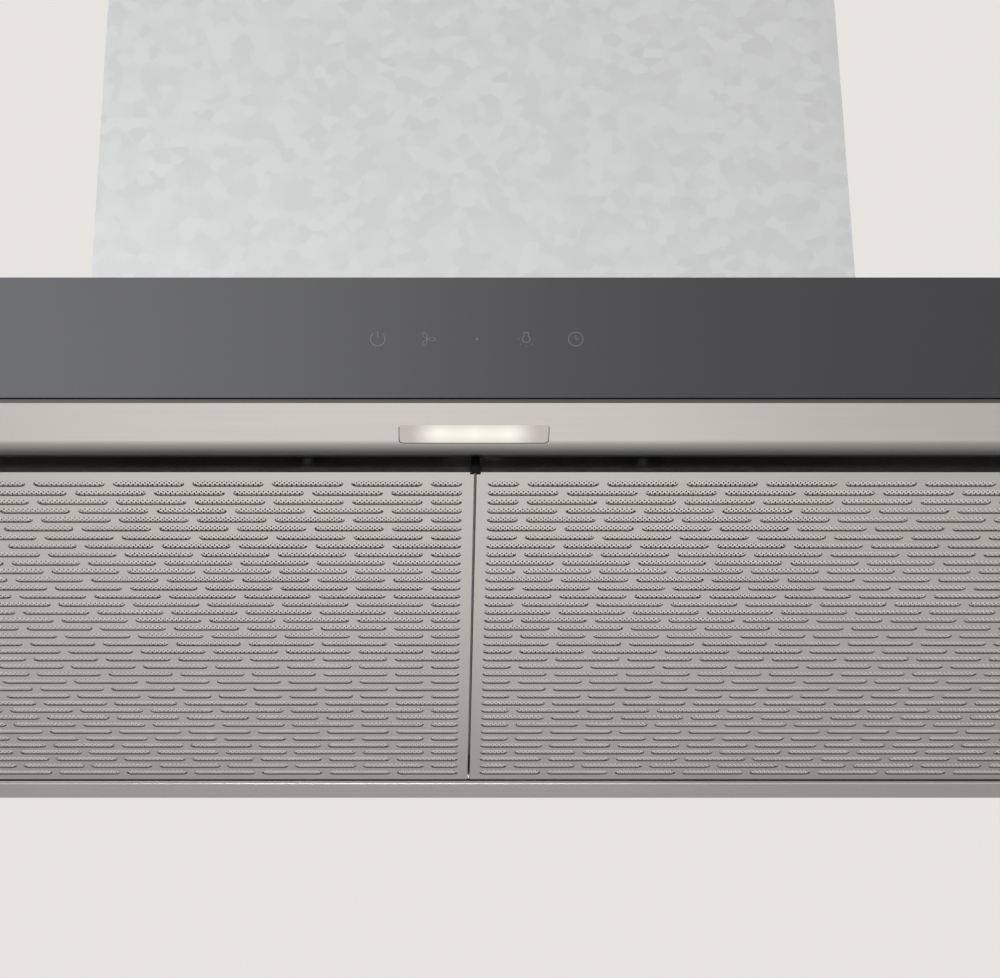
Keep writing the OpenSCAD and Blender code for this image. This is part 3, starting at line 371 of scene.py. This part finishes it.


# Steels: painted shade darkens the curved lip, as a painted dark reflection, and the filters towards
# their rear.
# Each ramp lists (share of its length, factor), and starts at a place along Y.
STEEL = (0.56, 0.546, 0.525)
LIP_PAINTED_REFLECTION = (
    (0, 1), (0.16, 0.60), (0.34, 0.41), (0.44, 0.25), (0.55, 0.09), (0.68, 0.035), (1, 0.01),
)
FILTER_PAINTED_SHADE = ((0, 1), (0.39, 0.94), (0.72, 0.79), (1, 0.66))
LIP_START = FRONT_Y + 33 * MM
LIP_LENGTH = 22 * MM
FILTER_START = FRONT_Y + 60 * MM
FILTER_LENGTH = 340 * MM
HEM_TOP = 2.1 * MM
FACE_T = 0.82 * MM
FLANGE_TOP = 20 * MM
STRIP_STEEL = brushed_steel("strip_steel", STEEL, 0.34)
# Front strip: painted shade on the hem's upright face, and a painted dark reflection along the curved
# lip.
FRONT_STEEL = brushed_steel(
    "front_steel", STEEL, 0.34,
    edges=((-MM, HEM_TOP, 0.18),),
    painted_fade=(LIP_START, LIP_LENGTH, LIP_PAINTED_REFLECTION),
)
# Painted shade: the rear strip is a darker copy of the same brushed steel.
REAR_STEEL_PAINTED_SHADE = brushed_steel("rear_steel_painted_shade", (0.37, 0.357, 0.345), 0.28)
# Filter plate: painted shade on the slot walls and on the tray's upright walls, and painted shade towards
# the rear.
FILTER_STEEL = brushed_steel(
    "filter_steel", (0.515, 0.503, 0.484), 0.38, fine=0.6, dents=0.0006,
    edges=((-MM, FACE_T, 0.05), (FACE_T, FLANGE_TOP, 0.45)),
    painted_fade=(FILTER_START, FILTER_LENGTH, FILTER_PAINTED_SHADE),
)
MESH_METAL = moulded("mesh_metal", (0.72, 0.705, 0.68), 0.45, size=2000, depth=0.000004, metallic=0.3)
ROLLED_METAL = moulded("rolled_aluminium", (0.60, 0.60, 0.59), 0.42, size=700, metallic=1.0)
GALVANISED = galvanised("galvanised_sheet", (0.56, 0.575, 0.58))
MOTOR_ZINC = moulded("zinc_plated", (0.52, 0.53, 0.54), 0.35, size=500, metallic=1.0)
GROUND_STEEL = moulded("ground_steel", (0.62, 0.62, 0.62), 0.25, size=1500, metallic=1.0)
BLACK_PLASTIC = moulded("black_plastic", (0.022, 0.022, 0.024), 0.48)
GREY_PLASTIC = moulded("grey_plastic", (0.23, 0.24, 0.25), 0.45)
WHEEL_PLASTIC = moulded("wheel_plastic", (0.035, 0.035, 0.038), 0.5)
RUBBER = moulded("black_rubber", (0.004, 0.004, 0.004), 0.85, size=400, Specular_IOR_Level=0.1)
WHITE_CAN = moulded("white_can", (0.72, 0.72, 0.69), 0.35)
GREEN_BOARD = board("green_board", (0.03, 0.16, 0.08))
WHITE_BOARD = board("white_board", (0.75, 0.75, 0.72))
PRINT = moulded("symbol_print", (0.10, 0.10, 0.105), 0.4, size=2000, depth=0.000002)
FASCIA = fascia_material()
LIT_LENS = lamp_material()

SLOT_MATERIALS = {
    "brushed_steel": STRIP_STEEL,
    "filter_steel": FILTER_STEEL,
    "filter_mesh": MESH_METAL,
    "filter_frame": ROLLED_METAL,
    "fascia_glass": FASCIA,
    "galvanised": GALVANISED,
    "black_plastic": BLACK_PLASTIC,
    "grey_plastic": GREY_PLASTIC,
    "lamp_lens": LIT_LENS,
    "rubber": RUBBER,
    "circuit_board": GREEN_BOARD,
    "light_board": WHITE_BOARD,
    "machined_steel": GROUND_STEEL,
    "motor_zinc": MOTOR_ZINC,
    "wheel_plastic": WHEEL_PLASTIC,
    "capacitor_white": WHITE_CAN,
    "touch_symbols": PRINT,
}
NODE_MATERIALS = {"front_strip": FRONT_STEEL, "rear_strip": REAR_STEEL_PAINTED_SHADE}
for part in frame["record"]["subparts"]:
    material = NODE_MATERIALS.get(part["node"], SLOT_MATERIALS[part["material_slot"]])
    mesh = NODES[part["node"]].data
    mesh.materials.clear()
    mesh.materials.append(material)


# Mesh helpers


def make_piece(name, bm, material, body):
    """Turns a bmesh in metres, in the part's frame, into a piece that rides on a body."""
    mesh = bpy.data.meshes.new(name)
    bm.to_mesh(mesh)
    bm.free()
    mesh.materials.append(material)
    piece = bpy.data.objects.new(name, mesh)
    bpy.context.scene.collection.objects.link(piece)
    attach(piece, body)
    return piece


# Expanded metal behind the slots: diamonds in rows along X, cut out of one lattice.
DIAMOND_X = 2.3 * MM
DIAMOND_Y = 3.4 * MM
STRAND_HALF = 0.61 * MM
STRAND_RISE = 0.07 * MM


def lattice(w, d):
    """A lattice of diamonds about the zero point, a little larger than w by d."""
    bm = bmesh.new()
    cells = int(w / DIAMOND_X + d / DIAMOND_Y + 2)
    bmesh.ops.create_grid(bm, x_segments=cells, y_segments=cells, size=cells / 2)
    turn = Matrix.Rotation(radians(45), 4, "Z")
    stretch = Matrix.Diagonal((DIAMOND_X / 2**0.5, DIAMOND_Y / 2**0.5, 1, 1))
    bmesh.ops.transform(bm, matrix=stretch @ turn, verts=bm.verts)
    far = []
    for face in bm.faces:
        middle = face.calc_center_median()
        if abs(middle.x) > w / 2 + DIAMOND_X or abs(middle.y) > d / 2 + DIAMOND_Y:
            far.append(face)
    bmesh.ops.delete(bm, geom=far, context="FACES")
    return bm


def mesh_half(name, low, high, body):
    """The expanded metal of one half of a filter, its strands ridged downwards."""
    bm = lattice(high.x - low.x, high.y - low.y)
    holes = list(bm.faces)
    bmesh.ops.inset_individual(bm, faces=holes, thickness=STRAND_HALF, depth=STRAND_RISE)
    bmesh.ops.delete(bm, geom=holes, context="FACES")
    bmesh.ops.translate(bm, vec=((low.x + high.x) / 2, (low.y + high.y) / 2, low.z), verts=bm.verts)
    for corner, outward in (
        (low, (-1, 0, 0)), (low, (0, -1, 0)), (high, (1, 0, 0)), (high, (0, 1, 0)),
    ):
        everything = bm.verts[:] + bm.edges[:] + bm.faces[:]
        bmesh.ops.bisect_plane(
            bm, geom=everything, plane_co=corner, plane_no=outward, clear_outer=True
        )
    bmesh.ops.reverse_faces(bm, faces=bm.faces)
    return make_piece(name, bm, MESH_METAL, body)


def make_filter_mesh(side):
    node = side + "_filter_mesh"
    low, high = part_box(node)
    middle = (low.x + high.x) / 2
    for where, x0, x1 in (("a", low.x, middle), ("b", middle, high.x)):
        piece = mesh_half(
            f"{side}_mesh_{where}",
            Vector((x0, low.y, low.z)),
            Vector((x1, high.y, high.z)),
            side + "_filter",
        )
        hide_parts(node)


make_filter_mesh("left")
make_filter_mesh("right")


# Catch springs: copies of the coils, each with its own mesh, riding on the casing.
CATCHES = 4
MERGE_DISTANCE = 0.0001 * MM


def make_catch_spring(i):
    node = f"catch_spring_{i}"
    bm = bmesh.new()
    bm.from_mesh(NODES[node].data)
    bmesh.ops.remove_doubles(bm, verts=bm.verts, dist=MERGE_DISTANCE)
    piece = make_piece(f"catch_coil_{i}", bm, GROUND_STEEL, "casing")
    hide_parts(node)
    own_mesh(piece)


for number in range(1, CATCHES + 1):
    make_catch_spring(number)


# Touch symbols: faint print on the glass, drawn about their middles in metres.
SYMBOL_R = 3.6 * MM
SYMBOL_LINE = 0.5 * MM
SYMBOL_PITCH = 22.85 * MM
SYMBOL_HEIGHT = 28.7 * MM
DOT_R = 0.6 * MM
PRINT_T = 0.04 * MM


def ring(bm, radius, line_w, middle=(0, 0), width=1.0, turn=0.0, open_half_angle=0.0):
    """A ring, or an oval of that width, turned, and open at its top by an angle to each side."""
    made = bmesh.ops.create_circle(bm, cap_ends=True, segments=60, radius=radius)
    inner = made["verts"][0].link_faces[0]
    rim = bmesh.ops.inset_region(bm, faces=[inner], thickness=line_w, use_boundary=True)["faces"]
    top = Vector((0, 1, 0))
    gone = [inner] + [face for face in rim if face.calc_center_median().angle(top) < open_half_angle]
    kept = {vert for face in rim for vert in face.verts}
    matrix = (
        Matrix.Rotation(turn, 4, "Z")
        @ Matrix.Translation((middle[0], middle[1], 0))
        @ Matrix.Diagonal((width, 1, 1, 1))
    )
    bmesh.ops.transform(bm, matrix=matrix, verts=list(kept))
    bmesh.ops.delete(bm, geom=gone, context="FACES")


def spot(bm, radius, middle=(0, 0)):
    matrix = Matrix.Translation((middle[0], middle[1], 0))
    bmesh.ops.create_circle(bm, cap_ends=True, segments=24, radius=radius, matrix=matrix)


def line(bm, start, end, line_w):
    start, end = Vector(start).to_3d(), Vector(end).to_3d()
    turn = (end - start).to_2d().angle_signed(Vector((1, 0)))
    matrix = (
        Matrix.Translation((start + end) / 2)
        @ Matrix.Rotation(turn, 4, "Z")
        @ Matrix.Diagonal(((end - start).length, line_w, 1, 1))
    )
    bmesh.ops.create_grid(bm, x_segments=1, y_segments=1, size=0.5, matrix=matrix)


def power_symbol(bm):
    ring(bm, SYMBOL_R, SYMBOL_LINE, open_half_angle=radians(34))
    line(bm, (0, SYMBOL_R * 0.2), (0, SYMBOL_R * 1.1), SYMBOL_LINE)


def fan_symbol(bm):
    for i in range(3):
        turn = i * 2 * pi / 3 - pi / 2
        ring(bm, SYMBOL_R * 0.46, SYMBOL_LINE, (0, SYMBOL_R * 0.62), 0.62, turn)
    spot(bm, SYMBOL_R * 0.16)


def dot_symbol(bm):
    spot(bm, DOT_R)


def lamp_symbol(bm):
    ring(bm, SYMBOL_R * 0.56, SYMBOL_LINE, open_half_angle=radians(30))
    for side in (-1, 1):
        neck = side * SYMBOL_R * 0.27
        line(bm, (neck, SYMBOL_R * 0.45), (neck, SYMBOL_R * 0.9), SYMBOL_LINE)
    line(bm, (-SYMBOL_R * 0.3, SYMBOL_R * 0.9), (SYMBOL_R * 0.3, SYMBOL_R * 0.9), SYMBOL_LINE)
    for angle in (-90, -45, 0, 45, 90):
        way = Vector((sin(radians(angle)), -cos(radians(angle))))
        spot(bm, SYMBOL_LINE * 0.6, way * SYMBOL_R * 0.98)


def clock_symbol(bm):
    ring(bm, SYMBOL_R, SYMBOL_LINE)
    line(bm, (0, -SYMBOL_LINE / 2), (0, SYMBOL_R * 0.6), SYMBOL_LINE)
    line(bm, (0, 0), (SYMBOL_R * 0.45, 0), SYMBOL_LINE)


def glass_frame():
    """Matrix from a drawing (x right, y up the glass, z out of it) to the part's frame."""
    glass = NODES["fascia_glass"].data
    front = [v.co for v in glass.vertices]
    bottom = min(front, key=lambda co: (round(co.z, 5), co.y))
    top = min(front, key=lambda co: (round(co.y, 5), -co.z))
    up = Vector((0, top.y - bottom.y, top.z - bottom.z)).normalized()
    out = Vector((1, 0, 0)).cross(up)
    origin = Vector((0, bottom.y, bottom.z)) + up * SYMBOL_HEIGHT
    columns = ((1, 0, 0), up, out)
    turn = Matrix([[column[row] for column in columns] for row in range(3)]).to_4x4()
    return Matrix.Translation(origin) @ turn


def make_symbols():
    to_glass = glass_frame()
    drawings = (
        ("power", power_symbol), ("fan", fan_symbol), ("level", dot_symbol),
        ("lamp", lamp_symbol), ("timer", clock_symbol),
    )
    for i, (name, draw) in enumerate(drawings):
        bm = bmesh.new()
        draw(bm)
        bmesh.ops.recalc_face_normals(bm, faces=bm.faces)
        for face in bm.faces:
            if face.normal.z < 0:
                face.normal_flip()
        shift = Matrix.Translation(((i - 2) * SYMBOL_PITCH, 0, PRINT_T))
        bmesh.ops.transform(bm, matrix=to_glass @ shift, verts=bm.verts)
        make_piece("symbol_" + name, bm, PRINT, "casing")


make_symbols()


# Stage, lights and world
PALE = (0.80, 0.78, 0.745, 1)
FLOOR_Z = -1.7
FLOOR_REACH = 8
FLOOR_GLOW = 0.75


def pale_rays(tree):
    """1 for the rays that show the background: seen straight, in metal or through glass."""
    rays = add(tree, "ShaderNodeLightPath").outputs
    shown = math(tree, "MAXIMUM", rays["Is Camera Ray"], rays["Is Glossy Ray"])
    return math(tree, "MAXIMUM", shown, rays["Is Transmission Ray"])


def floor_material():
    """Pale from above, and clear from below, where the floor would hide the underside."""
    material, tree, shader = new_material("floor_matt", Roughness=0.9)
    tree.links.new(tone(tree, PALE[:3], noise(tree, 0.6), 0.99, 1.01), shader.inputs["Base Color"])
    glow = add(tree, "ShaderNodeEmission", {"Color": PALE})
    share = math(tree, "MULTIPLY", pale_rays(tree), FLOOR_GLOW)
    top = add(tree, "ShaderNodeMixShader", {0: share, 1: shader.outputs[0], 2: glow.outputs[0]})
    clear = add(tree, "ShaderNodeBsdfTransparent")
    below = add(tree, "ShaderNodeNewGeometry").outputs["Backfacing"]
    both = add(tree, "ShaderNodeMixShader", {0: below, 1: top.outputs[0], 2: clear.outputs[0]})
    tree.links.new(both.outputs[0], tree.nodes["Material Output"].inputs["Surface"])
    return material


def make_floor():
    bm = bmesh.new()
    bmesh.ops.create_grid(
        bm, x_segments=1, y_segments=1, size=FLOOR_REACH, matrix=Matrix.Translation((0, 0, FLOOR_Z))
    )
    mesh = bpy.data.meshes.new("floor")
    bm.to_mesh(mesh)
    bm.free()
    mesh.materials.append(floor_material())
    floor = bpy.data.objects.new("floor", mesh)
    bpy.context.scene.collection.objects.link(floor)


def area_light(name, place_at, aim, size, radiance, colour):
    """A rectangular lamp whose face has that brightness; it isn't seen by the camera."""
    data = bpy.data.lights.new(name, "AREA")
    data.shape = "RECTANGLE"
    data.size, data.size_y = size
    data.energy = radiance * pi * size[0] * size[1]
    data.color = colour
    lamp = bpy.data.objects.new(name, data)
    lamp.location = place_at
    lamp.rotation_euler = (Vector(aim) - Vector(place_at)).to_track_quat("-Z", "Y").to_euler()
    lamp.visible_camera = False
    bpy.context.scene.collection.objects.link(lamp)


ROOM = (0.45, 0.45, 0.45, 1)
WHITE = (1, 1, 1)
WARM = (1, 0.985, 0.96)
COOL = (0.95, 0.965, 1)
# Lights: name, place, aim, size in metres, brightness and colour.
LIGHTS = (
    ("window", (-1.45, -3.0, 0.3), (-0.3, -0.2, 0), (3.0, 2.0), 3.7, COOL),
    ("under_rear", (-0.09, 1.2, -0.90), (-0.09, -0.1, 0), (0.75, 0.50), 0.45, WARM),
    ("under_wide", (0, 0.1, -1.5), (0, 0.05, 0), (1.6, 1.0), 0.7, WHITE),
    ("under_glint", (-0.075, 0.47, -1.4), (-0.075, 0.19, 0), (0.31, 0.10), 42.0, WHITE),
    ("top", (0.3, 0.2, 2.6), (0, 0, 0.1), (2.5, 2.5), 0.7, WHITE),
    ("fill", (2.2, -1.8, 1.4), (0, 0, 0.1), (1.5, 1.5), 1.0, WHITE),
    ("back", (0.8, 2.6, 1.8), (0, 0, 0.2), (2.0, 1.4), 2.0, WHITE),
)


def make_world():
    """Pale where the background shows, and a dimmer room as far as it lights matt surfaces."""
    world = bpy.data.worlds.new("world")
    world.use_nodes = True
    tree = world.node_tree
    pale = add(tree, "ShaderNodeBackground", {"Color": PALE})
    room = add(tree, "ShaderNodeBackground", {"Color": ROOM})
    inputs = {0: pale_rays(tree), 1: room.outputs[0], 2: pale.outputs[0]}
    mixed = add(tree, "ShaderNodeMixShader", inputs)
    tree.links.new(mixed.outputs[0], tree.nodes["World Output"].inputs["Surface"])
    bpy.context.scene.world = world


make_floor()
make_world()
for light in LIGHTS:
    area_light(*light)
bpy.context.scene.view_settings.view_transform = "Standard"
